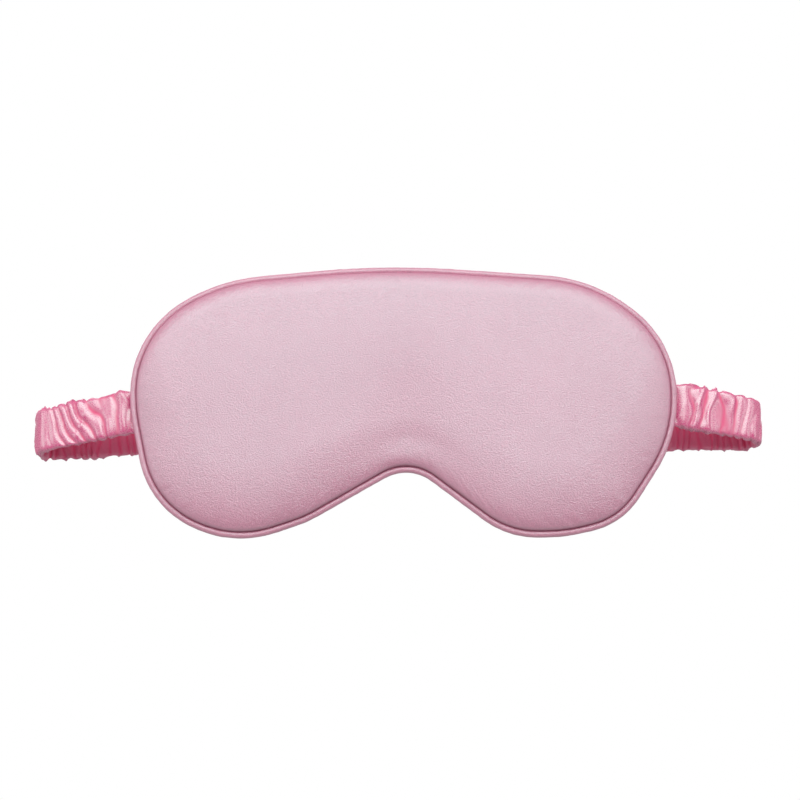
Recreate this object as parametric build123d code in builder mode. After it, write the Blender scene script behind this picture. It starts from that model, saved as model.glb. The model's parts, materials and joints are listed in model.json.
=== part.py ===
"""Sleep eye mask: a padded satin mask with a piped edge and a gathered elastic strap.

Millimetres. The mask stands upright as it is worn: +X to the right when it is seen
from the front, +Y from the front of the mask towards the wearer, +Z up. The origin
is on the flat back face, in the middle of the mask.
"""
from build123d import *
from math import asin, atan2, cos, degrees, hypot, radians, sin, sqrt
import os

os.makedirs("parts", exist_ok=True)

# ---- the mask ----
# Its outline, corner by corner: how far across and up the corner is, and the radius
# that rounds it. The two lobes differ a little, as on a hand-stuffed mask.
OUTLINE = [
    ((-7.0, 54.5), 330),
    ((-69.5, 48.5), 66),
    ((-106.5, 28.5), 42),
    ((-105.0, -4.5), 68),
    ((-97.0, -41.5), 37),
    ((-64.0, -56.0), 41),
    ((-37.0, -47.0), 38),
    ((2.0, -24.5), 16),
    ((39.5, -53.0), 34),
    ((61.5, -52.5), 54),
    ((83.0, -47.5), 29),
    ((105.0, -14.0), 54),
    ((105.0, 24.0), 42),
    ((73.0, 49.0), 58),
]
THICKNESS = 10.5            # front of the front cover to the flat back face
COVER = 0.6                 # satin with its fused backing
SEAM_DEPTH = 4.1            # back face to the middle of the edge seam
SEAM_LAYER = 0.6            # liner and piping flange, between the two pads
FRONT_ROUNDING = 4.8        # the front cover rolls into the edge seam
BACK_ROUNDING = 2.4         # and so does the back cover
PANEL_INSET = 2.9           # outer edge of the mask to the edge of a cover

PIPING_RADIUS = 1.3         # satin wrapped round the cord
CORD_RADIUS = 0.8
FLANGE_REACH = 8.0          # outer edge of the mask to the inner edge of the flange
LINER_GAP = 0.3
STITCH_RADIUS = 0.17        # sewing thread, in the groove beside the piping
STITCH_INSET = 2.7

# ---- the strap ----
STRAP_WIDTH = 17.7
STRAP_THICKNESS = 3.4       # gathered satin tube
ELASTIC_WIDTH = 12.0
ELASTIC_THICKNESS = 1.0
SEAM_X = 107.0              # the strap bends here, just outside the piping
SEAM_Y = -1.8
REAR_Y = 17.0               # middle of the strap's thickness behind the mask
FOLD_RADIUS = 6.5
FOLD_GAP = 0.3              # run end to the folded stretch
REAR_BEND_X = 70.0          # the strap also bends here, behind the mask
BEND_ROOM = 2.0             # run end to the axis of that bend
MEETING_GAP = 0.8           # between the strap's two halves, in the middle of the back

TAB_THICKNESS = 1.8         # strap end pressed flat in the side seam
TAB_INNER_X = 90.0
TAB_END_GAP = 0.5           # strap end to the first run
BARTACK_X = 95.0
BARTACK_LENGTH = 1.2
BARTACK_HEIGHT = 14.0

# On each side: the sign of X, the outermost point of the fold, and the height of the
# strap's middle at the seam, on the near and far side of the fold, and behind.
SIDES = {
    "left": (-1, 143.4, -4.0, -8.9, -10.1, -6.5),
    "right": (1, 139.4, -1.2, -4.5, -6.3, -6.5),
}

# ---- worked out ----
SEAM_FRONT = SEAM_DEPTH + SEAM_LAYER / 2
SEAM_BACK = SEAM_DEPTH - SEAM_LAYER / 2
TALL = 60.0                 # a plan profile's reach, before it is cut to its band
BEYOND = 200.0              # past the whole mask
SHORTEST_EDGE = 0.01        # a far inset outline keeps no edge shorter than this


def finish_node(part, name):
    """Label a finished piece and write its STEP file."""
    part.label = name
    export_step(part, f"parts/{name}.step")


def draw_outline(inset, shortest_edge=None):
    """Draw the mask's outline, moved inwards, in the sketch that is being made."""
    corners = [corner for corner, _ in OUTLINE]
    with BuildLine() as edge_line:
        FilletPolyline(*corners, radius=[radius for _, radius in OUTLINE], close=True)
    make_face(edge_line.edges())
    offset(amount=-inset, min_edge_length=shortest_edge)


def ring_path(inset, depth):
    """A line that follows the mask's edge, at a depth in front of the back face."""
    with BuildSketch(Plane.XZ.offset(depth)) as ring:
        draw_outline(inset)
    return ring.sketch.face().outer_wire()


def sweep_round(path, radius, mode=Mode.ADD):
    """Sweep a circle along a closed path, in the part that is being made."""
    with BuildSketch(Plane(origin=path @ 0, z_dir=path % 0)) as section:
        Circle(radius)
    sweep(section.sketch, path=path, mode=mode)


# ---- padding, from the front ----
with BuildPart() as foam_pad:
    with BuildSketch(Plane.XZ.offset(SEAM_FRONT)):
        draw_outline(PANEL_INSET + COVER)
    extrude(amount=THICKNESS - COVER - SEAM_FRONT)
    fillet(foam_pad.faces().sort_by(Axis.Y)[0].edges(), FRONT_ROUNDING - COVER)
finish_node(foam_pad.part, "foam_pad")

with BuildPart() as front_cover:
    with BuildSketch(Plane.XZ.offset(SEAM_FRONT)):
        draw_outline(PANEL_INSET)
    extrude(amount=THICKNESS - SEAM_FRONT)
    fillet(front_cover.faces().sort_by(Axis.Y)[0].edges(), FRONT_ROUNDING)
    add(foam_pad.part, mode=Mode.SUBTRACT)
finish_node(front_cover.part, "front_cover")

with BuildPart() as blackout_liner:
    with BuildSketch(Plane.XZ.offset(SEAM_BACK)):
        draw_outline(FLANGE_REACH + LINER_GAP, SHORTEST_EDGE)
    extrude(amount=SEAM_LAYER)
finish_node(blackout_liner.part, "blackout_liner")

# ---- piped edge ----
piping_path = ring_path(PIPING_RADIUS, SEAM_DEPTH)

with BuildPart() as piping_cord:
    sweep_round(piping_path, CORD_RADIUS)
finish_node(piping_cord.part, "piping_cord")

with BuildPart() as piping_cover:
    with BuildSketch(Plane.XZ.offset(SEAM_BACK)) as flange:
        draw_outline(PIPING_RADIUS)
        with BuildSketch(Plane.XZ.offset(SEAM_BACK), mode=Mode.PRIVATE) as inside_flange:
            draw_outline(FLANGE_REACH, SHORTEST_EDGE)
        add(inside_flange.sketch, mode=Mode.SUBTRACT)
    extrude(amount=SEAM_LAYER)
    sweep_round(piping_path, PIPING_RADIUS)
    sweep_round(piping_path, CORD_RADIUS, Mode.SUBTRACT)
finish_node(piping_cover.part, "piping_cover")

with BuildPart() as edge_stitching:
    sweep_round(ring_path(STITCH_INSET, SEAM_FRONT + STITCH_RADIUS), STITCH_RADIUS)
finish_node(edge_stitching.part, "edge_stitching")

# ---- sewn strap ends ----
strap_ends = []
for side, (sign, _, seam_z, _, _, _) in SIDES.items():
    tab_outer_x = SEAM_X - STRAP_THICKNESS / 2 - TAB_END_GAP
    tab_plane = Plane.XZ.offset(-SEAM_Y - TAB_THICKNESS / 2)
    with BuildPart() as bartack:
        with BuildSketch(tab_plane):
            with Locations((sign * BARTACK_X, seam_z)):
                Rectangle(BARTACK_LENGTH, BARTACK_HEIGHT)
        extrude(amount=TAB_THICKNESS)
    finish_node(bartack.part, f"bartack_{side}")

    with BuildPart() as strap_end:
        with BuildSketch(tab_plane):
            with Locations((sign * (TAB_INNER_X + tab_outer_x) / 2, seam_z)):
                Rectangle(tab_outer_x - TAB_INNER_X, STRAP_WIDTH)
        extrude(amount=TAB_THICKNESS)
    strap_ends.append(strap_end.part)

    with BuildPart() as sewn_end:
        add(strap_end.part)
        add(bartack.part, mode=Mode.SUBTRACT)
    finish_node(sewn_end.part, f"strap_end_{side}")

# ---- padding and cover on the wearer's side ----
with BuildPart() as padding_block:
    with BuildSketch(Plane.XZ.offset(COVER)):
        draw_outline(PANEL_INSET + COVER)
    extrude(amount=SEAM_BACK - COVER)
    fillet(padding_block.faces().sort_by(Axis.Y)[-1].edges(), BACK_ROUNDING - COVER)

with BuildPart() as back_padding:
    add(padding_block.part)
    for strap_end_part in strap_ends:
        add(strap_end_part, mode=Mode.SUBTRACT)
finish_node(back_padding.part, "back_padding")

with BuildPart() as back_cover:
    with BuildSketch(Plane.XZ):
        draw_outline(PANEL_INSET)
    extrude(amount=SEAM_BACK)
    fillet(back_cover.faces().sort_by(Axis.Y)[-1].edges(), BACK_ROUNDING)
    add(padding_block.part, mode=Mode.SUBTRACT)
    for strap_end_part in strap_ends:
        add(strap_end_part, mode=Mode.SUBTRACT)
finish_node(back_cover.part, "back_cover")


# ---- strap ----
def draw_run(start, end, thickness, both_ends):
    """Draw a run of the strap from above, a bar with round ends, in the current sketch."""
    across = end[0] - start[0]
    along_y = end[1] - start[1]
    middle = ((start[0] + end[0]) / 2, (start[1] + end[1]) / 2)
    with Locations(Location(middle, degrees(atan2(along_y, across)))):
        if both_ends:
            SlotCenterToCenter(hypot(across, along_y), thickness)
        else:
            Rectangle(hypot(across, along_y) + STRAP_THICKNESS, thickness)


def cut_to_band(plane, start, end, width):
    """Keep what lies in a band seen along the plane's normal, between two mid heights."""
    reach = 1 if end[0] > start[0] else -1
    slope = (end[1] - start[1]) / (end[0] - start[0])
    first = (start[0] - reach * TALL, start[1] - reach * TALL * slope)
    last = (end[0] + reach * TALL, end[1] + reach * TALL * slope)
    half = width / 2
    with BuildSketch(plane) as band:
        with BuildLine():
            Polyline(
                (first[0], first[1] - half),
                (last[0], last[1] - half),
                (last[0], last[1] + half),
                (first[0], first[1] + half),
                close=True,
            )
        make_face()
    extrude(band.sketch, amount=BEYOND, both=True, mode=Mode.INTERSECT)


def make_run(names, start, end, start_z, end_z):
    """One straight run of the strap: the flat elastic and the satin tube round it."""
    cover_name, elastic_name = names
    with BuildPart() as elastic:
        with BuildSketch():
            draw_run(start, end, ELASTIC_THICKNESS, False)
        extrude(amount=TALL, both=True)
        cut_to_band(Plane.XZ, (start[0], start_z), (end[0], end_z), ELASTIC_WIDTH)
    with BuildPart() as tube:
        with BuildSketch():
            draw_run(start, end, STRAP_THICKNESS, True)
        extrude(amount=TALL, both=True)
        cut_to_band(Plane.XZ, (start[0], start_z), (end[0], end_z), STRAP_WIDTH)
        add(elastic.part, mode=Mode.SUBTRACT)
    finish_node(elastic.part, elastic_name)
    finish_node(tube.part, cover_name)


def make_fold(names, points, near, far):
    """The stretch that turns back on itself, between the near and the far run."""
    cover_name, elastic_name = names
    with BuildPart() as elastic:
        with BuildSketch():
            with BuildLine():
                ThreePointArc(*points)
            trace(line_width=ELASTIC_THICKNESS)
        extrude(amount=TALL, both=True)
        cut_to_band(Plane.YZ, near, far, ELASTIC_WIDTH)
    with BuildPart() as tube:
        with BuildSketch():
            with BuildLine():
                ThreePointArc(*points)
            trace(line_width=STRAP_THICKNESS)
        extrude(amount=TALL, both=True)
        cut_to_band(Plane.YZ, near, far, STRAP_WIDTH)
        add(elastic.part, mode=Mode.SUBTRACT)
    finish_node(elastic.part, elastic_name)
    finish_node(tube.part, cover_name)


half_tube = STRAP_THICKNESS / 2
for side, (sign, outermost, seam_z, near_z, far_z, rear_z) in SIDES.items():
    fold_x = outermost - half_tube - FOLD_RADIUS
    fold_y = REAR_Y - FOLD_RADIUS
    # the near run leaves the seam and meets the fold as a tangent
    to_fold = hypot(fold_x - SEAM_X, fold_y - SEAM_Y)
    lean = atan2(fold_y - SEAM_Y, fold_x - SEAM_X) - asin(FOLD_RADIUS / to_fold)
    near_length = sqrt(to_fold**2 - FOLD_RADIUS**2) - half_tube
    near_end = (sign * (SEAM_X + near_length * cos(lean)), SEAM_Y + near_length * sin(lean))
    make_run(
        (f"strap_cover_{side}_side", f"strap_elastic_{side}_side"),
        (sign * SEAM_X, SEAM_Y), near_end, seam_z, near_z,
    )
    gap_angle = degrees(FOLD_GAP / FOLD_RADIUS)
    turns = (degrees(lean) - 90 + gap_angle, 0, 90 - gap_angle)
    fold_points = [
        (sign * (fold_x + FOLD_RADIUS * cos(radians(turn))), fold_y + FOLD_RADIUS * sin(radians(turn)))
        for turn in turns
    ]
    make_fold(
        (f"strap_cover_{side}_fold", f"strap_elastic_{side}_fold"),
        fold_points, (near_end[1], near_z), (REAR_Y, far_z),
    )
    make_run(
        (f"strap_cover_{side}_rear", f"strap_elastic_{side}_rear"),
        (sign * (fold_x - half_tube), REAR_Y), (sign * (REAR_BEND_X + BEND_ROOM), REAR_Y), far_z, rear_z,
    )
    make_run(
        (f"strap_cover_{side}_middle", f"strap_elastic_{side}_middle"),
        (sign * (REAR_BEND_X - BEND_ROOM), REAR_Y), (sign * (half_tube + MEETING_GAP / 2), REAR_Y), rear_z, rear_z,
    )
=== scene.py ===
import json
import math

import bpy
import numpy as np
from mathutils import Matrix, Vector, noise


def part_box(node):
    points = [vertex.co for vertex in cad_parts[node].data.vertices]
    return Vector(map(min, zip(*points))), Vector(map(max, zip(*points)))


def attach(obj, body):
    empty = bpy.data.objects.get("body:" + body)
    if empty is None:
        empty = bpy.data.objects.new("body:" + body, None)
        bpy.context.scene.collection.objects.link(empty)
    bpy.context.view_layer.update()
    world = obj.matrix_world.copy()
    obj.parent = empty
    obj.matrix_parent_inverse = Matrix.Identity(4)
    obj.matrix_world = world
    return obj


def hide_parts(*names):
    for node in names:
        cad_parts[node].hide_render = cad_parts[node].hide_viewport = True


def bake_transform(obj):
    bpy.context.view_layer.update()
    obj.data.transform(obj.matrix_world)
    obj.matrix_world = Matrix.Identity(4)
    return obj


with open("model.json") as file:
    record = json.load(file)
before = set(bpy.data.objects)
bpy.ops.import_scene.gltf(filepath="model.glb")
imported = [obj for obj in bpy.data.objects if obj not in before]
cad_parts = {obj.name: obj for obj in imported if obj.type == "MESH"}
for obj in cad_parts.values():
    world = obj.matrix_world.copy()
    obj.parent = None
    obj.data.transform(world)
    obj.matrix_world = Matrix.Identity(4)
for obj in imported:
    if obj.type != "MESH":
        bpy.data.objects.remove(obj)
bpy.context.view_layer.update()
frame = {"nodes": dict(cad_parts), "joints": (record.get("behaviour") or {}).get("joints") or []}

MM = 0.001


# ---------------------------------------------------------------- camera and light
CAMERA_ELEVATION = math.radians(-12)
CAMERA_DISTANCE = 0.854
CAMERA_LENS = 100.0
AIM = Vector((-0.0015, -0.0045, 0.0006))
FLOOR_Z = -0.45


def add_camera():
    """A long lens in front of the mask and a little below it."""
    data = bpy.data.cameras.new("camera")
    data.lens = CAMERA_LENS
    data.sensor_width = 36.0
    camera = bpy.data.objects.new("camera", data)
    bpy.context.scene.collection.objects.link(camera)
    back = Vector((0, -math.cos(CAMERA_ELEVATION), math.sin(CAMERA_ELEVATION)))
    camera.location = AIM + back * CAMERA_DISTANCE
    camera.rotation_euler = (-back).to_track_quat("-Z", "Y").to_euler()
    bpy.context.scene.camera = camera


def add_softbox(name, place, size, power):
    """A white rectangular area light that looks at the mask."""
    data = bpy.data.lights.new(name, "AREA")
    data.shape = "RECTANGLE"
    data.size, data.size_y = size
    data.energy = power
    light = bpy.data.objects.new(name, data)
    bpy.context.scene.collection.objects.link(light)
    light.location = place
    toward_mask = Vector((0, 0, 0)) - Vector(place)
    light.rotation_euler = toward_mask.to_track_quat("-Z", "Y").to_euler()
    light.visible_camera = False


def add_studio():
    """Soft light in front and behind, weaker fill at the sides, a pale floor and a white backdrop."""
    add_softbox("front_softbox", (0.0, -1.22, 0.57), (1.8, 0.95), 13.6)
    add_softbox("top_softbox", (0.0, -0.95, 1.02), (1.6, 0.5), 4.2)
    add_softbox("left_fill", (-1.25, -0.65, 0.25), (0.7, 0.9), 3.2)
    add_softbox("right_fill", (1.25, -0.65, 0.25), (0.7, 0.9), 2.6)
    add_softbox("low_strip", (0.0, -0.45, -0.42), (1.2, 0.05), 0.15)
    add_softbox("back_softbox", (0.0, 1.3, 0.55), (1.8, 0.95), 13)
    world = bpy.data.worlds.new("studio")
    bpy.context.scene.world = world
    world.use_nodes = True
    tree = world.node_tree
    tree.nodes.clear()
    output = tree.nodes.new("ShaderNodeOutputWorld")
    mix = tree.nodes.new("ShaderNodeMixShader")
    path = tree.nodes.new("ShaderNodeLightPath")
    ambient = tree.nodes.new("ShaderNodeBackground")
    ambient.inputs["Color"].default_value = (1.0, 0.98, 0.98, 1)
    # dimmer in front, where the softboxes are, and brighter round the sides and behind
    direction = tree.nodes.new("ShaderNodeTexCoord")
    parts = tree.nodes.new("ShaderNodeSeparateXYZ")
    around = tree.nodes.new("ShaderNodeMapRange")
    for name, value in (("From Min", -0.85), ("From Max", -0.35), ("To Min", 0.16), ("To Max", 0.55)):
        around.inputs[name].default_value = value
    tree.links.new(direction.outputs["Generated"], parts.inputs[0])
    tree.links.new(parts.outputs["Y"], around.inputs["Value"])
    tree.links.new(around.outputs["Result"], ambient.inputs["Strength"])
    backdrop = tree.nodes.new("ShaderNodeBackground")
    backdrop.inputs["Color"].default_value = (1, 1, 1, 1)
    tree.links.new(path.outputs["Is Camera Ray"], mix.inputs["Fac"])
    tree.links.new(ambient.outputs[0], mix.inputs[1])
    tree.links.new(backdrop.outputs[0], mix.inputs[2])
    tree.links.new(mix.outputs[0], output.inputs["Surface"])
    bpy.context.scene.view_settings.view_transform = "Standard"

    bpy.ops.mesh.primitive_plane_add(size=60, location=(0, 0, FLOOR_Z))
    floor = bpy.context.active_object
    floor.name = "floor"
    floor.visible_diffuse = False
    floor.visible_glossy = False
    paper = bpy.data.materials.new("floor_paper")
    paper.use_nodes = True
    sheet = paper.node_tree.nodes["Principled BSDF"]
    sheet.inputs["Base Color"].default_value = (0.25, 0.25, 0.25, 1)
    sheet.inputs["Roughness"].default_value = 0.9
    sheet.inputs["Emission Color"].default_value = (1, 1, 1, 1)
    sheet.inputs["Emission Strength"].default_value = 0.76
    floor.data.materials.append(paper)


# ---------------------------------------------------------------- materials
class Shader:
    """A principled material whose nodes are added by name."""

    def __init__(self, name):
        self.material = bpy.data.materials.new(name)
        self.material.use_nodes = True
        self.tree = self.material.node_tree
        self.bsdf = self.tree.nodes["Principled BSDF"]
        self.place = self.tree.nodes.new("ShaderNodeTexCoord").outputs["Object"]

    def node(self, kind, **settings):
        made = self.tree.nodes.new(kind)
        for key, value in settings.items():
            setattr(made, key, value)
        return made

    def link(self, source, target):
        self.tree.links.new(source, target)

    def scaled(self, scale):
        """The place in the row frame, multiplied along each axis."""
        mapping = self.node("ShaderNodeMapping")
        mapping.inputs["Scale"].default_value = scale
        self.link(self.place, mapping.inputs["Vector"])
        return mapping.outputs["Vector"]

    def noise(self, scale, detail=2.0, rough=0.5, stretch=(1, 1, 1)):
        """Noise with about `scale` blobs to a metre."""
        made = self.node("ShaderNodeTexNoise")
        made.inputs["Scale"].default_value = scale
        made.inputs["Detail"].default_value = detail
        made.inputs["Roughness"].default_value = rough
        self.link(self.scaled(stretch), made.inputs["Vector"])
        return made.outputs["Fac"]

    def ramp(self, source, stops):
        """A colour or grey ramp over a value from 0 to 1."""
        made = self.node("ShaderNodeValToRGB")
        while len(made.color_ramp.elements) < len(stops):
            made.color_ramp.elements.new(0.5)
        for element, (place, colour) in zip(made.color_ramp.elements, stops):
            element.position = place
            element.color = (*colour, 1)
        self.link(source, made.inputs["Fac"])
        return made.outputs["Color"]

    def bump(self, height, strength, distance, under=None):
        made = self.node("ShaderNodeBump")
        made.inputs["Strength"].default_value = strength
        made.inputs["Distance"].default_value = distance
        self.link(height, made.inputs["Height"])
        if under is not None:
            self.link(under, made.inputs["Normal"])
        return made.outputs["Normal"]


def satin(name, dark, light, crease_shade, roughness=0.34, grain=0.75, ior=3.1, tint=(0.55, 1.0, 0.93)):
    """Woven satin: dyed pink under a broad silky gloss, with a fine crepe grain.
    A point's painted crease shade, from 0 to 1, mixes in a colour that stands for shade in creases and
    seams, and dulls the gloss."""
    shader = Shader(name)
    bsdf = shader.bsdf
    crepe = shader.noise(2200, detail=3, rough=0.7, stretch=(0.65, 0.65, 1.0))
    tone = shader.node("ShaderNodeMath", operation="MULTIPLY_ADD")
    shader.link(shader.noise(28, detail=3), tone.inputs[0])
    tone.inputs[1].default_value = 0.25
    shader.link(crepe, tone.inputs[2])
    dye = shader.ramp(tone.outputs[0], [(0.40, dark), (0.85, light)])
    # painted shade: mix the dye towards the shade colour by each point's painted shade value
    shade_mix = shader.node("ShaderNodeMix", data_type="RGBA")
    painted_shade = shader.node("ShaderNodeAttribute", attribute_name="crease_shade")
    shader.link(painted_shade.outputs["Fac"], shade_mix.inputs["Factor"])
    shader.link(dye, shade_mix.inputs["A"])
    shade_mix.inputs["B"].default_value = (*crease_shade, 1)
    shader.link(shade_mix.outputs["Result"], bsdf.inputs["Base Color"])
    slub = shader.noise(300, detail=2, stretch=(1.0, 1.0, 0.4))
    soft = shader.bump(slub, 0.05, 0.0006)
    shader.link(shader.bump(crepe, grain, 0.00032, soft), bsdf.inputs["Normal"])
    gloss = shader.node("ShaderNodeMapRange")
    gloss_range = {"From Min": 0.3, "From Max": 0.7, "To Min": roughness - 0.05, "To Max": roughness + 0.07}
    for key, value in gloss_range.items():
        gloss.inputs[key].default_value = value
    shader.link(crepe, gloss.inputs["Value"])
    dull = shader.node("ShaderNodeMath", operation="MULTIPLY_ADD", use_clamp=True)
    shader.link(painted_shade.outputs["Fac"], dull.inputs[0])
    dull.inputs[1].default_value = 0.55
    shader.link(gloss.outputs["Result"], dull.inputs[2])
    shader.link(dull.outputs[0], bsdf.inputs["Roughness"])
    bsdf.inputs["IOR"].default_value = ior
    bsdf.inputs["Specular Tint"].default_value = (*tint, 1)
    return shader.material


def thread_material():
    """Twisted polyester sewing thread."""
    shader = Shader("sewing_thread")
    twist = shader.node("ShaderNodeTexWave", wave_type="BANDS", bands_direction="DIAGONAL")
    twist.inputs["Scale"].default_value = 1400
    twist.inputs["Distortion"].default_value = 1.5
    shader.link(shader.place, twist.inputs["Vector"])
    stops = [(0.0, (0.40, 0.12, 0.20)), (1.0, (0.62, 0.28, 0.38))]
    shader.link(shader.ramp(twist.outputs["Fac"], stops), shader.bsdf.inputs["Base Color"])
    shader.link(shader.bump(twist.outputs["Fac"], 0.5, 0.0001), shader.bsdf.inputs["Normal"])
    shader.bsdf.inputs["Roughness"].default_value = 0.45
    return shader.material


def woven_material(name, dark, light, threads, roughness):
    """A plain weave: two crossing sets of threads, for the layers inside."""
    shader = Shader(name)
    heights = []
    for direction in ("X", "Z"):
        wave = shader.node("ShaderNodeTexWave", wave_type="BANDS", bands_direction=direction)
        wave.inputs["Scale"].default_value = threads
        wave.inputs["Distortion"].default_value = 0.6
        shader.link(shader.place, wave.inputs["Vector"])
        heights.append(wave.outputs["Fac"])
    weave = shader.node("ShaderNodeMath", operation="MULTIPLY")
    shader.link(heights[0], weave.inputs[0])
    shader.link(heights[1], weave.inputs[1])
    shader.link(shader.ramp(weave.outputs[0], [(0, dark), (1, light)]), shader.bsdf.inputs["Base Color"])
    shader.link(shader.bump(weave.outputs[0], 0.6, 0.0002), shader.bsdf.inputs["Normal"])
    shader.bsdf.inputs["Roughness"].default_value = roughness
    return shader.material


# ---------------------------------------------------------------- mesh helpers
def add_mesh(name, points, faces, material, normals=None):
    """A smooth mesh object, with its own normals if they are given."""
    mesh = bpy.data.meshes.new(name)
    mesh.from_pydata([tuple(p) for p in points], [], faces)
    mesh.update()
    mesh.polygons.foreach_set("use_smooth", [True] * len(mesh.polygons))
    if normals is not None:
        mesh.normals_split_custom_set_from_vertices([tuple(n) for n in normals])
    mesh.materials.append(material)
    piece = bpy.data.objects.new(name, mesh)
    bpy.context.scene.collection.objects.link(piece)
    return piece


def paint_crease_shade(piece, painted_shade):
    """Store each point's painted shade, from 0 to 1, which mixes shade into the satin's colour and dulls
    its gloss.
    """
    layer = piece.data.attributes.new("crease_shade", "FLOAT", "POINT")
    layer.data.foreach_set("value", np.clip(painted_shade, 0, 1).astype(np.float32))


def ring_faces(rings, around, closed_path=False, first=0):
    """Quads between rings of `around` points; closed_path joins the last ring to the first."""
    faces = []
    for i in range(rings if closed_path else rings - 1):
        a = first + i * around
        b = first + (i + 1) % rings * around
        for k in range(around):
            n = (k + 1) % around
            faces.append((a + k, a + n, b + n, b + k))
    return faces


def smooth_ring(values, spread):
    """Gaussian smoothing of evenly spaced values round a closed ring."""
    count = len(values)
    offsets = np.arange(-int(3 * spread), int(3 * spread) + 1)
    weights = np.exp(-0.5 * (offsets / spread) ** 2)
    weights /= weights.sum()
    out = np.zeros_like(values)
    for offset, weight in zip(offsets, weights):
        out += weight * values[(np.arange(count) + offset) % count]
    return out


def ease(x, low, high):
    """0 below low, 1 above high, smooth between."""
    t = np.clip((np.asarray(x, float) - low) / (high - low), 0, 1)
    return t * t * (3 - 2 * t)


def field(points, scale, seed):
    """Smooth noise from -1 to 1 at each point; scale is in blobs to a metre."""
    shift = Vector((seed * 3.17, seed * 1.73, seed * 2.39))
    return np.array([noise.noise(Vector(p) * scale + shift) for p in points])


# ---------------------------------------------------------------- the mask's edge
RIM_POINTS = 900
PAD_INSET = 3.5 * MM        # the foam's edge, inside the mask's outer edge
MASK_MIDDLE = np.array([0.0, 5 * MM])


def pad_edge():
    """The foam pad's edge as evenly spaced points (x, z), anticlockwise, and its outward normals."""
    corners = np.array([v.co[:] for v in frame["nodes"]["foam_pad"].data.vertices])
    back = corners[corners[:, 1] > corners[:, 1].max() - 1e-5][:, [0, 2]]
    angle = np.arctan2(back[:, 1] - MASK_MIDDLE[1], back[:, 0] - MASK_MIDDLE[0])
    _, keep = np.unique(np.round(angle, 5), return_index=True)
    loop = back[keep]
    closed = np.vstack([loop, loop[:1]])
    along = np.r_[0, np.cumsum(np.linalg.norm(np.diff(closed, axis=0), axis=1))]
    steps = np.arange(RIM_POINTS) * along[-1] / RIM_POINTS
    even = np.stack([np.interp(steps, along, closed[:, i]) for i in range(2)], axis=1)
    even = smooth_ring(even, 2.5)
    tangent = np.roll(even, -1, axis=0) - np.roll(even, 1, axis=0)
    tangent /= np.linalg.norm(tangent, axis=1)[:, None]
    normal = smooth_ring(np.stack([tangent[:, 1], -tangent[:, 0]], axis=1), 3)
    return even, normal / np.linalg.norm(normal, axis=1)[:, None]


edge, edge_normal = pad_edge()


def rim(inset):
    """The mask's outline moved inwards by inset from its outer edge."""
    return edge + edge_normal * (PAD_INSET - inset)


def edge_distance(points, loop):
    """How far inside a loop each point (x, z) is."""
    out = np.empty(len(points))
    for i in range(0, len(points), 4000):
        part = points[i:i + 4000]
        out[i:i + 4000] = np.sqrt(((part[:, None] - loop[None]) ** 2).sum(2).min(1))
    return out


# ---------------------------------------------------------------- padded panels
PANEL_RINGS = 64
PANEL_INSET = 2.4 * MM      # outer edge of the mask to the edge of a panel
SKIRT_INSET = 1.6 * MM      # outer edge of the mask to the edge of a panel's hidden skirt
SKIRT_DEPTH = 0.3 * MM
PUCKER_HEIGHT = 0.12 * MM
NOSE_DIP = 1.5 * MM         # how much lower the front is over the nose
NOSE_X = 1 * MM
NOSE_WIDTH = 15 * MM
TOP_LIP = 0.7 * MM          # the front stands at least this high along its top edge


def panel_points(inset):
    """Points (x, z) on rings from the panel's edge to its middle, closer together at the edge."""
    loop = rim(inset)
    shares = 1 - (np.arange(PANEL_RINGS) / PANEL_RINGS) ** 1.6
    rings = [MASK_MIDDLE + share * (loop - MASK_MIDDLE) for share in shares]
    return np.vstack(rings + [MASK_MIDDLE[None]]), loop


def panel_faces(flip):
    """Quads between the panel's rings and triangles at its middle."""
    faces = ring_faces(PANEL_RINGS, RIM_POINTS)
    last = (PANEL_RINGS - 1) * RIM_POINTS
    middle = PANEL_RINGS * RIM_POINTS
    faces += [(last + k, last + (k + 1) % RIM_POINTS, middle) for k in range(RIM_POINTS)]
    return [tuple(reversed(f)) for f in faces] if flip else faces


def pillow(inside, roll, power):
    """From 0 at the edge to 1 over the roll, steep at first like a stuffed edge."""
    share = 1 - np.clip(inside / roll, 0, 1)
    return (1 - share ** power) ** (1 / power)


def seam_puckers(inside, layer, seed):
    """Small puckers along the seam. layer and seed keep the front's and the back's apart."""
    outline = np.vstack([np.tile(rim(0), (PANEL_RINGS, 1)), [[0, 0]]])
    at = np.column_stack([outline, np.full(len(outline), layer)])
    pucker = field(at, 260, seed) + 0.6 * field(at, 520, seed + 1)
    return PUCKER_HEIGHT * pucker * ease(inside, 0, 1.5 * MM) * (1 - ease(inside, 1.5 * MM, 7 * MM))


def panel_mesh(name, points, skirt_y, flip, crease_shades, material):
    """A satin panel with its hidden skirt. Its painted shade values come first for the panel and then for
    the skirt.
    """
    skirt = rim(SKIRT_INSET)
    hidden = np.stack([skirt[:, 0], np.full(RIM_POINTS, skirt_y), skirt[:, 1]], axis=1)
    faces = panel_faces(flip)
    first = len(points)
    for k in range(RIM_POINTS):
        ahead = (k + 1) % RIM_POINTS
        if flip:
            faces.append((first + ahead, first + k, k, ahead))
        else:
            faces.append((first + k, first + ahead, ahead, k))
    piece = add_mesh(name, np.vstack([points, hidden]), faces, material)
    paint_crease_shade(piece, crease_shades)
    return piece


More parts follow.
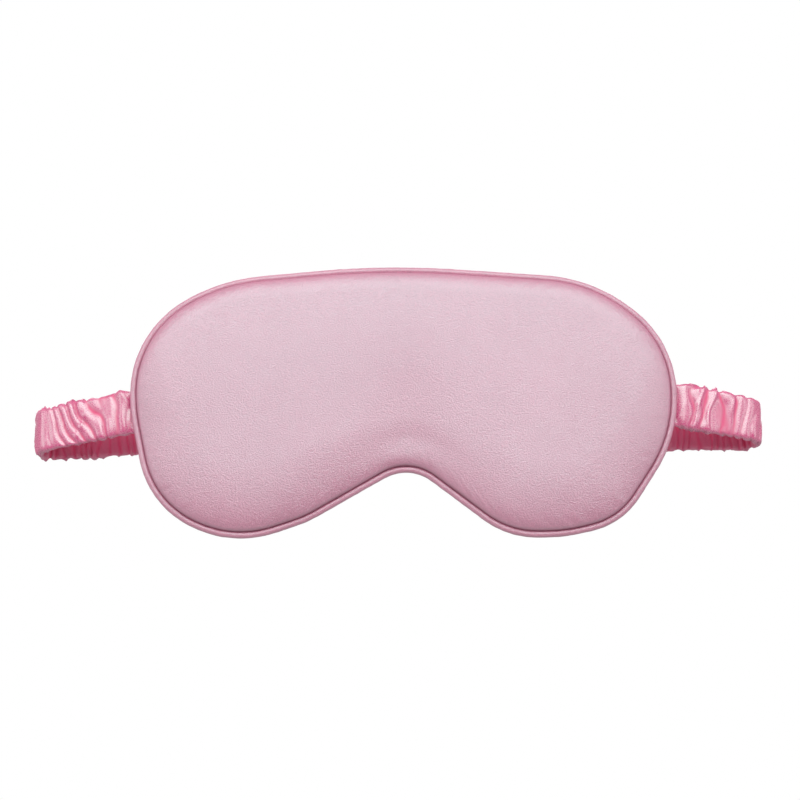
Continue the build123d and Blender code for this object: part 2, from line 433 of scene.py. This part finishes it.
def front_panel(material):
    """The stuffed front: a rolled edge, a dip above the nose and small puckers along the seam."""
    seam_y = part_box("foam_pad")[1].y
    height = seam_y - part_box("front_cover")[0].y
    flat, loop = panel_points(PANEL_INSET)
    inside = edge_distance(flat, loop)
    inside[:RIM_POINTS] = 0
    x, z = flat[:, 0], flat[:, 1]
    # the rolled edge is 8 mm wide at the top and grows to 26 mm low down
    roll = 8 * MM + 18 * MM * (1 - ease(z, -34 * MM, 26 * MM))
    lip = 0.24 * pillow(inside, 0.9 * MM, 2)
    rise = height * (lip + 0.60 * pillow(inside, roll, 2) + 0.16 * pillow(inside, 45 * MM, 1.8))
    nose = np.exp(-((x - NOSE_X) / NOSE_WIDTH) ** 2) * ease(z, 30 * MM, -26 * MM)
    rise -= NOSE_DIP * nose * ease(inside, 0, 12 * MM)
    at = np.stack([x, z, np.zeros(len(x))], axis=1)
    rise += 0.35 * MM * field(at, 22, 1) * ease(inside, 0, 20 * MM)
    rise += seam_puckers(inside, 0.0, 2)
    upward = np.r_[np.tile(ease(edge_normal[:, 1], 0.2, 0.85), PANEL_RINGS), 0]
    rise = np.maximum(rise, TOP_LIP * upward)
    # painted shade down in the seam at the panel's edge, mostly left off along the top where the light
    # falls from above; the hidden skirt is painted half shaded
    painted_shade = (1 - ease(inside, 0.15 * MM, 0.5 * MM)) * (1 - 0.8 * upward)
    crease_shades = np.r_[painted_shade, np.full(RIM_POINTS, 0.5)]
    points = np.stack([x, seam_y - rise, z], axis=1)
    piece = panel_mesh("front_satin_panel", points, seam_y + SKIRT_DEPTH, False, crease_shades, material)
    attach(piece, "mask")
    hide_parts("front_cover", "foam_pad")


def back_panel(material):
    """The flatter panel on the wearer's side."""
    low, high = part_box("back_cover")
    flat, loop = panel_points(PANEL_INSET)
    inside = edge_distance(flat, loop)
    inside[:RIM_POINTS] = 0
    x, z = flat[:, 0], flat[:, 1]
    rise = (high.y - low.y) * (0.9 * pillow(inside, 7 * MM, 2.1) + 0.1 * pillow(inside, 30 * MM, 1.8))
    at = np.stack([x, z, np.zeros(len(x))], axis=1)
    rise += 0.22 * MM * field(at, 30, 7) * ease(inside, 0, 20 * MM)
    rise += seam_puckers(inside, 0.1, 8)
    # painted shade down in the seam at the panel's edge and over the whole hidden skirt
    crease_shades = np.r_[1 - ease(inside, 0.15 * MM, 0.5 * MM), np.ones(RIM_POINTS)]
    points = np.stack([x, low.y + rise, z], axis=1)
    piece = panel_mesh("back_satin_panel", points, low.y - SKIRT_DEPTH, True, crease_shades, material)
    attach(piece, "mask")
    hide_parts("back_cover", "back_padding")


# ---------------------------------------------------------------- piped edge
PIPING_AROUND = 20
PIPING_STEPS = 1800


def piping(material):
    """The satin strip wrapped round its cord, a little uneven, with painted shade where it meets the
    panels.
    """
    low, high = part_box("piping_cover")
    radius = (high.y - low.y) / 2
    centre = rim(radius)
    steps = np.arange(PIPING_STEPS) * RIM_POINTS / PIPING_STEPS
    knots = np.arange(RIM_POINTS + 1)
    wrap = np.vstack([centre, centre[:1]])
    out = np.vstack([edge_normal, edge_normal[:1]])
    line = np.stack([np.interp(steps, knots, wrap[:, i]) for i in range(2)], axis=1)
    away = np.stack([np.interp(steps, knots, out[:, i]) for i in range(2)], axis=1)
    points = []
    middle_y = (low.y + high.y) / 2
    turns = np.arange(PIPING_AROUND) * 2 * math.pi / PIPING_AROUND
    for turn in turns:
        c, s = math.cos(turn), math.sin(turn)
        # the noise is read round the strip as well as along it
        at = np.stack([line[:, 0], line[:, 1], np.full(PIPING_STEPS, 0.0016 * s)], axis=1)
        skew = at + np.stack([away[:, 0], away[:, 1], np.zeros(PIPING_STEPS)], axis=1) * 0.0012 * c
        uneven = 0.05 * MM * field(skew, 90, 11) + 0.09 * MM * field(skew, 420, 12)
        r = radius + uneven
        points.append(np.stack([
            line[:, 0] + away[:, 0] * r * c,
            middle_y + r * s,
            line[:, 1] + away[:, 1] * r * c,
        ], axis=1))
    mesh_points = np.stack(points, axis=1).reshape(-1, 3)
    faces = ring_faces(PIPING_STEPS, PIPING_AROUND, closed_path=True)
    piece = add_mesh("piping_strip", mesh_points, faces, material)
    # painted shade on the side of the strip that meets the panels, mostly left off along the top where the
    # light falls from above
    inward = ease(np.tile(-np.cos(turns), PIPING_STEPS), 0.7, 1.0)
    upward = np.repeat(ease(away[:, 1], 0.2, 0.85), PIPING_AROUND)
    paint_crease_shade(piece, inward * (1 - 0.8 * upward))
    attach(piece, "mask")
    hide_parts("piping_cover")


STITCH_PITCH = 2.7 * MM
STITCH_RADIUS = 0.19 * MM
STITCH_INSET = 2.55 * MM    # outer edge of the mask to the row of stitches
STITCH_LIFT = 0.12 * MM     # how far a stitch arches out of the satin
STITCH_AROUND = 6
STITCH_BENDS = 5


def edge_stitches(material):
    """Short stitches in the groove between the piping and the front panel."""
    loop = rim(STITCH_INSET)
    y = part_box("edge_stitching")[0].y + 0.15 * MM
    length = np.linalg.norm(np.roll(loop, -1, axis=0) - loop, axis=1).sum()
    count = int(length / STITCH_PITCH)
    knots = np.arange(RIM_POINTS + 1)
    wrap = np.vstack([loop, loop[:1]])
    points, faces = [], []
    for number in range(count):
        for bend in range(STITCH_BENDS):
            # a stitch fills the middle 76% of its pitch
            share = (number + 0.12 + 0.76 * bend / (STITCH_BENDS - 1)) / count * RIM_POINTS
            here = [np.interp(share, knots, wrap[:, i]) for i in range(2)]
            ahead = [np.interp(min(share + 0.5, RIM_POINTS), knots, wrap[:, i]) for i in range(2)]
            back = [np.interp(max(share - 0.5, 0), knots, wrap[:, i]) for i in range(2)]
            along = np.array([ahead[0] - back[0], 0, ahead[1] - back[1]])
            along /= np.linalg.norm(along)
            side = np.cross(along, (0, 1, 0))
            lift = math.sin(math.pi * bend / (STITCH_BENDS - 1))
            r = STITCH_RADIUS * (0.45 + 0.55 * lift)
            middle = np.array([here[0], y - STITCH_LIFT * lift, here[1]])
            for k in range(STITCH_AROUND):
                turn = 2 * math.pi * k / STITCH_AROUND
                points.append(middle + side * r * math.cos(turn) + np.array([0, 1, 0]) * r * math.sin(turn))
        first = number * STITCH_BENDS * STITCH_AROUND
        faces += ring_faces(STITCH_BENDS, STITCH_AROUND, first=first)
        faces.append(tuple(range(first, first + STITCH_AROUND))[::-1])
        last = first + (STITCH_BENDS - 1) * STITCH_AROUND
        faces.append(tuple(range(last, last + STITCH_AROUND)))
    piece = add_mesh("edge_stitch_row", points, faces, material)
    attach(piece, "mask")
    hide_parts("edge_stitching")


# ---------------------------------------------------------------- gathered strap
SEAM_JOINT = {"left": "strap_open", "right": "strap_right_open"}
FOLD_RADIUS = 6.5 * MM
STEP = 0.45 * MM            # between rings along the strap
STRAP_AROUND = 84
TUBE_HALF_THICK = 0.9 * MM  # before the gathers are added
EDGE_ROOM = 0.7 * MM        # left for the gathers at each edge of the strap
SCALLOP = 0.8 * MM          # how far the gathers wave those edges
BROAD_PITCH = 4.7 * MM
SHARP_PITCH = 7.6 * MM
FINE_PITCH = 3.1 * MM
ROOT_INSIDE = 5.0 * MM      # how far the strap's root runs inside the seam
ROOT_STEPS = 11
SECTION_SAMPLES = 4000      # round the outline, before it is divided evenly


def side_route(side, sign):
    """One half of the strap's middle line, from inside the seam to the middle of the back."""
    joints = {j["name"]: j for j in frame["joints"]}
    seam = joints[SEAM_JOINT[side]]["pos_m"]
    rear_low, rear_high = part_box(f"strap_cover_{side}_middle")
    near_low, near_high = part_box(f"strap_cover_{side}_side")
    fold_low, fold_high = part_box(f"strap_cover_{side}_fold")
    half_width = (rear_high.z - rear_low.z) / 2
    rear_y = (rear_low.y + rear_high.y) / 2
    half_tube = (rear_high.y - rear_low.y) / 2
    outermost = max(abs(fold_low.x), abs(fold_high.x))
    fold_x = outermost - half_tube - FOLD_RADIUS
    fold_y = rear_y - FOLD_RADIUS
    seam_x, seam_y = abs(seam[0]), seam[1]
    away = math.hypot(fold_x - seam_x, fold_y - seam_y)
    lean = math.atan2(fold_y - seam_y, fold_x - seam_x) - math.asin(FOLD_RADIUS / away)
    near = math.sqrt(away ** 2 - FOLD_RADIUS ** 2)

    plan = [(seam_x - ROOT_INSIDE - i * STEP, seam_y) for i in range(4, 0, -1)]
    plan += [(seam_x - ROOT_INSIDE * (1 - i / ROOT_STEPS), seam_y) for i in range(ROOT_STEPS)]
    plan += [(seam_x + t * math.cos(lean), seam_y + t * math.sin(lean)) for t in np.arange(0, near, STEP)]
    turns = np.arange(lean - math.pi / 2, math.pi / 2, STEP / FOLD_RADIUS)
    plan += [(fold_x + FOLD_RADIUS * math.cos(t), fold_y + FOLD_RADIUS * math.sin(t)) for t in turns]
    plan += [(x, rear_y) for x in np.arange(fold_x, 0, -STEP)]
    plan = np.array(plan)

    # heights of the strap's middle: at the seam, on both sides of the fold, and behind
    seam_z = near_high.z - half_width
    near_z = near_low.z + half_width
    far_z = fold_low.z + half_width
    rear_z = (rear_low.z + rear_high.z) / 2
    bend_x = abs(joints[f"strap_{side}_bend"]["pos_m"][0])
    travel = np.r_[0, np.cumsum(np.linalg.norm(np.diff(plan, axis=0), axis=1))]
    on_rear = plan[:, 1] > rear_y - 1e-9
    at_near = travel[np.argmax(plan[:, 1] > seam_y + near * math.sin(lean) - 1e-9)]
    at_far = travel[np.argmax(on_rear)]
    at_bend = travel[np.argmax(on_rear & (plan[:, 0] < bend_x))]
    stops = [0, 6 * MM, at_near, at_far, at_bend, travel[-1]]
    z = np.interp(travel, stops, [seam_z, seam_z, near_z, far_z, rear_z, rear_z])
    kernel = np.hanning(15)
    z = np.convolve(np.pad(z, 7, mode="edge"), kernel / kernel.sum(), mode="valid")
    return np.stack([sign * plan[:, 0], plan[:, 1], z], axis=1), half_width, half_tube


def strap_route():
    """The whole strap's middle line, evenly stepped from the left seam to the right."""
    left, half_width, half_tube = side_route("left", -1)
    right, _, _ = side_route("right", 1)
    line = np.vstack([left, right[::-1]])
    travel = np.r_[0, np.cumsum(np.linalg.norm(np.diff(line, axis=0), axis=1))]
    keep = np.r_[True, np.diff(travel) > 1e-7]
    line, travel = line[keep], travel[keep]
    even = np.linspace(0, travel[-1], int(travel[-1] / STEP))
    line = np.stack([np.interp(even, travel, line[:, i]) for i in range(3)], axis=1)
    kernel = np.hanning(9)
    kernel /= kernel.sum()
    padded = np.pad(line, ((4, 4), (0, 0)), mode="edge")
    line = np.stack([np.convolve(padded[:, i], kernel, mode="valid") for i in range(3)], axis=1)
    return line, even, half_width, half_tube


def strap_section(share, half_width, half_thick):
    """A point of the flattened tube's outline: across the width and through the thickness."""
    turn = 2 * math.pi * share
    c, s = math.cos(turn), math.sin(turn)
    across = half_width * math.copysign(abs(c) ** 0.55, c)
    through = half_thick * math.copysign(abs(s) ** 0.75, s)
    return across, through


def even_section(half_width, half_thick):
    """STRAP_AROUND evenly spaced points round the flattened tube, with outward normals."""
    shares = [i / SECTION_SAMPLES for i in range(SECTION_SAMPLES + 1)]
    raw = np.array([strap_section(share, half_width, half_thick) for share in shares])
    along = np.r_[0, np.cumsum(np.linalg.norm(np.diff(raw, axis=0), axis=1))]
    steps = np.arange(STRAP_AROUND) * along[-1] / STRAP_AROUND
    even = np.stack([np.interp(steps, along, raw[:, i]) for i in range(2)], axis=1)
    tangent = np.roll(even, -1, axis=0) - np.roll(even, 1, axis=0)
    tangent /= np.linalg.norm(tangent, axis=1)[:, None]
    return even, np.stack([tangent[:, 1], -tangent[:, 0]], axis=1)


def gather_heights(travel, across, facing):
    """Heights of the broad, sharp and fine gathers, from 0 in a crease to about 1 on a ridge.
    travel is the way along the strap, across the place over its width, facing the side it is on."""
    at = np.stack([travel, across, facing * 4 * MM], axis=1)
    # broad folds with rounded tops, which wander, lean and stand at uneven distances
    wander = 0.70 * field(at * (1, 0.9, 1), 95, 21) + 0.25 * field(at * (1, 0.5, 1), 230, 22)
    spacing = 1.1 * field(at * (1, 0, 1), 42, 28)
    slant = 1.3 * across / (9 * MM) * field(at * (1, 0, 1), 75, 27)
    phase = travel / BROAD_PITCH + wander + slant + spacing
    facet = 1.7 * (1 - 2 * np.abs(phase - np.round(phase)))
    broad = facet / (1 + facet ** 5) ** 0.2
    # narrow ridges, in some places only
    lone = field(at * (1, 0.25, 1), 70, 25)
    sharp_phase = travel / SHARP_PITCH + 1.2 * field(at * (1, 0.8, 1), 60, 26)
    sharp = (1 - np.abs(np.sin(math.pi * sharp_phase))) ** 3 * ease(lone, -0.35, 0.25)
    # loud is how high the broad folds stand from place to place
    loud = 0.72 + 0.75 * field(at * (1, 0.7, 1), 90, 24)
    fine_phase = travel / FINE_PITCH + 1.1 * field(at * (1, 0.6, 1), 150, 23)
    fine = np.abs(np.sin(math.pi * fine_phase)) ** 0.8
    return broad * loud, sharp, fine


def strap_mesh():
    """The gathered tube's points, ring by ring, with its middle line, ring count and painted crease shade
    values.
    """
    line, travel, half_width, _ = strap_route()
    count = len(line)
    section, section_normal = even_section(half_width - EDGE_ROOM, TUBE_HALF_THICK)
    tangent = np.gradient(line, axis=0)
    tangent /= np.linalg.norm(tangent, axis=1)[:, None]
    up = np.array([0, 0, 1.0]) - tangent * tangent[:, 2:3]
    up /= np.linalg.norm(up, axis=1)[:, None]
    outside = np.cross(up, tangent)
    total = travel[-1]
    from_end = np.minimum(travel, total - travel)
    # bend is 1 where the line turns at the fold's radius, and 0 where it is straight
    bend = np.linalg.norm(np.gradient(tangent, axis=0), axis=1) / STEP * FOLD_RADIUS
    in_fold = np.convolve(bend, np.ones(15) / 15, mode="same").clip(0, 1)

    s = np.repeat(travel, STRAP_AROUND)
    across = np.tile(section[:, 0], count)
    through = np.tile(section[:, 1], count)
    facing = np.tile(section_normal[:, 1], count)
    edgewise = np.tile(section_normal[:, 0], count)
    broad, sharp, fine = gather_heights(s, across, facing)
    root = np.repeat(ease(from_end, 4.5 * MM, 8 * MM), STRAP_AROUND)
    fold = np.repeat(in_fold, STRAP_AROUND)
    # inside is the face of the rear run that looks at the mask, and outer the outside of a fold
    inside = np.repeat(ease(line[:, 1], 9 * MM, 15 * MM), STRAP_AROUND) * ease(facing, -0.2, 0.6)
    near_edge = ease(np.abs(across), 4 * MM, 8.2 * MM)
    outer = fold * np.clip(-facing, 0, 1)
    broad_height = (1.25 - 0.6 * inside) * broad
    sharp_height = (0.95 - 0.4 * inside) * sharp
    fine_height = (0.08 + 0.08 * near_edge + 0.75 * inside) * fine
    height = broad_height + sharp_height + fine_height
    height = (height * (1 - 0.6 * outer) + 0.75 * outer) * MM
    # painted shade in the gathers' creases, and painted shade with bounced pink light on the rear run's
    # face that looks at the mask
    crease_shade = (1 - ease(height, 0.05 * MM, 0.55 * MM)) * (1 - outer)
    crease_shade = np.maximum(crease_shade, inside * (0.6 + 0.4 * (1 - ease(fine, 0.25, 0.8))))
    height = height * (0.25 + 0.75 * root)
    squeeze = 0.75 + 0.25 * root
    scallop = SCALLOP * np.abs(edgewise) * (broad + 0.7 * sharp - 0.55) * root
    wide = across + edgewise * height * 0.5 + np.sign(across) * scallop
    thick = through * squeeze + facing * height
    points = (
        np.repeat(line, STRAP_AROUND, axis=0)
        + np.repeat(up, STRAP_AROUND, axis=0) * wide[:, None]
        - np.repeat(outside, STRAP_AROUND, axis=0) * thick[:, None]
    )
    return points, line, count, crease_shade


def vertex_normals(points, faces):
    """Area-weighted normals of a quad mesh."""
    quads = np.array(faces)
    corner = points[quads]
    face_normal = np.cross(corner[:, 2] - corner[:, 0], corner[:, 3] - corner[:, 1])
    out = np.zeros_like(points)
    for i in range(4):
        np.add.at(out, quads[:, i], face_normal)
    return out / np.maximum(np.linalg.norm(out, axis=1)[:, None], 1e-12)


OVERLAP_RINGS = 6           # rings of the left half that run inside the right, in the middle of the back
TUBE_TUCK = 0.45 * MM       # how much that end is drawn in, to fit inside
ELASTIC_TUCK = 0.25 * MM
REAR_CUT = 98 * MM          # the strap is cut this far from the middle, behind the mask
SEAM_BEND_IN = 3.5 * MM     # each bend's reach along x, from its joint
SEAM_BEND_OUT = 4.5 * MM
BACK_BEND = 8 * MM
FOLD_BEND_START_Y = 7 * MM
FOLD_BEND_END_Y = 26.2 * MM
FOLD_BEND_IN = 9.6 * MM


def joint_place(name):
    return Vector(next(j["pos_m"] for j in frame["joints"] if j["name"] == name))


def strap_cuts(line):
    """Ring numbers where the strap is cut: before each fold, mid rear run and the middle of the back."""
    left_cut = joint_place("strap_left_fold").x
    right_cut = joint_place("strap_right_fold").x
    middle = len(line) // 2
    behind = line[:, 1] > line[middle, 1] - 1 * MM
    right_half = np.arange(len(line)) > middle
    return [
        0,
        int(np.argmax(line[:, 0] < left_cut)),
        int(np.argmax(behind & (line[:, 0] > -REAR_CUT))),
        int(np.argmax(behind & (line[:, 0] > 0))),
        int(np.argmax(behind & (line[:, 0] > REAR_CUT))),
        int(np.argmax(right_half & ~behind & (line[:, 0] < right_cut))),
        len(line) - 1,
    ]


def strap_joints():
    """Each length of strap, the bodies that it bends between, and where the bend starts and ends."""
    plans = []
    for side, sign in (("left", -1), ("right", 1)):
        seam = abs(joint_place(SEAM_JOINT[side]).x)
        bend = abs(joint_place(f"strap_{side}_bend").x)
        fold = abs(joint_place(f"strap_{side}_fold").x)
        plans += [
            (f"{side}_seam", "mask", f"strap_{side}_side",
             (sign * (seam - SEAM_BEND_IN), 0, 0), (sign * (seam + SEAM_BEND_OUT), 0, 0)),
            (f"{side}_fold", f"strap_{side}_side", f"strap_{side}_rear",
             (sign * fold, FOLD_BEND_START_Y, 0), (sign * (fold - FOLD_BEND_IN), FOLD_BEND_END_Y, 0)),
            (f"{side}_back", f"strap_{side}_rear", f"strap_{side}_middle",
             (sign * (bend + BACK_BEND), 0, 0), (sign * (bend - BACK_BEND), 0, 0)),
        ]
    # the left side's from its seam to the middle, and then the right side's back to its seam
    return plans[:3] + plans[:2:-1]


# the CAD nodes that each kind of piece stands for, by the ends of their names
REPLACED = {"seam": ["side"], "fold": ["fold", "rear"], "back": ["middle"]}


def strap_pieces(prefix, node_prefix, points, normals, around, cuts, material, slot, tuck, crease_shade=None):
    """Cut a tube along the strap into pieces, one for each length listed in strap_joints."""
    for index, (name, body_a, body_b, start, end) in enumerate(strap_joints()):
        side, part = name.split("_")
        first, last = cuts[index], cuts[index + 1]
        shape = points
        if name == "left_back":
            # this end runs a little way inside the other half
            last += OVERLAP_RINGS
            shape = points.copy()
            inner = slice((last - OVERLAP_RINGS + 1) * around, (last + 1) * around)
            shape[inner] -= normals[inner] * tuck
        rows = slice(first * around, (last + 1) * around)
        faces = ring_faces(last - first + 1, around)
        faces.append(tuple(range(around))[::-1])
        faces.append(tuple(range((last - first) * around, (last - first + 1) * around)))
        piece = add_mesh(f"{prefix}_{name}", shape[rows], faces, material, normals[rows])
        if crease_shade is not None:
            paint_crease_shade(piece, crease_shade[rows])
        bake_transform(piece)
        stands_for = [f"{node_prefix}_{side}_{place}" for place in REPLACED[part]]
        if part == "seam" and slot == "satin_strap":
            stands_for.append(f"strap_end_{side}")
        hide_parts(*stands_for)


def strap(material):
    """The gathered satin tube."""
    points, line, count, crease_shade = strap_mesh()
    normals = vertex_normals(points, ring_faces(count, STRAP_AROUND))
    strap_pieces("strap_tube", "strap_cover", points, normals, STRAP_AROUND, strap_cuts(line), material,
                 "satin_strap", TUBE_TUCK, crease_shade)


ELASTIC_AROUND = 28


def elastic(material):
    """The flat elastic inside the tube, which the satin is gathered on."""
    line = strap_route()[0]
    low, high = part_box("strap_elastic_left_middle")
    count = len(line)
    turn = np.arange(ELASTIC_AROUND) * 2 * math.pi / ELASTIC_AROUND
    c, s = np.cos(turn), np.sin(turn)
    across = (high.z - low.z) / 2 * np.sign(c) * np.abs(c) ** 0.35
    through = (high.y - low.y) / 2 * np.sign(s) * np.abs(s) ** 0.5
    tangent = np.gradient(line, axis=0)
    tangent /= np.linalg.norm(tangent, axis=1)[:, None]
    up = np.array([0, 0, 1.0]) - tangent * tangent[:, 2:3]
    up /= np.linalg.norm(up, axis=1)[:, None]
    outside = np.cross(up, tangent)
    rib = 0.06 * MM * np.sin(np.arange(count) * math.pi / 2)[:, None] * np.sign(through)
    points = (
        line[:, None]
        + up[:, None] * across[None, :, None]
        - outside[:, None] * (through[None] + rib)[:, :, None]
    ).reshape(-1, 3)
    normals = vertex_normals(points, ring_faces(count, ELASTIC_AROUND))
    strap_pieces("strap_elastic_band", "strap_elastic", points, normals, ELASTIC_AROUND, strap_cuts(line),
                 material, "elastic", ELASTIC_TUCK)


# ---------------------------------------------------------------- build
add_camera()
add_studio()

PANEL_DARK = (0.60, 0.157, 0.287)
PANEL_LIGHT = (0.765, 0.224, 0.372)
# painted shade colour for down in a seam and under the panels' edges
PAINTED_SEAM_SHADE = (0.42, 0.04, 0.13)           # down in a seam
front_satin = satin("front_satin", PANEL_DARK, PANEL_LIGHT, PAINTED_SEAM_SHADE)
back_satin = satin("back_satin", PANEL_DARK, PANEL_LIGHT, PAINTED_SEAM_SHADE)
piping_satin = satin("piping_satin", (0.60, 0.18, 0.30), (0.76, 0.26, 0.39), PAINTED_SEAM_SHADE,
                     roughness=0.45, grain=0.5, ior=2.6)
# the strap's third colour is painted shade with bounced pink light, for the gathers' creases and the inside
# of the loop
strap_satin = satin("strap_satin", (0.75, 0.076, 0.255), (0.83, 0.10, 0.30), (0.86, 0.011, 0.185),
                    roughness=0.27, grain=0.2, ior=2.8, tint=(0.58, 1.0, 0.88))
thread = thread_material()
elastic_weave = woven_material("woven_elastic", (0.62, 0.60, 0.60), (0.90, 0.88, 0.88), 420, 0.6)

front_panel(front_satin)
back_panel(back_satin)
piping(piping_satin)
edge_stitches(thread)
strap(strap_satin)
elastic(elastic_weave)

# the CAD nodes that stay as they are: each gets the material whose key is in its name
INSIDE = {
    "blackout_liner": woven_material("black_liner", (0.01, 0.01, 0.012), (0.05, 0.05, 0.055), 900, 0.8),
    "piping_cord": woven_material("cotton_cord", (0.60, 0.57, 0.52), (0.88, 0.86, 0.80), 500, 0.8),
    "bartack": thread,
}
for node_name, node in frame["nodes"].items():
    for key, material in INSIDE.items():
        if key in node_name:
            node.data.materials.clear()
            node.data.materials.append(material)
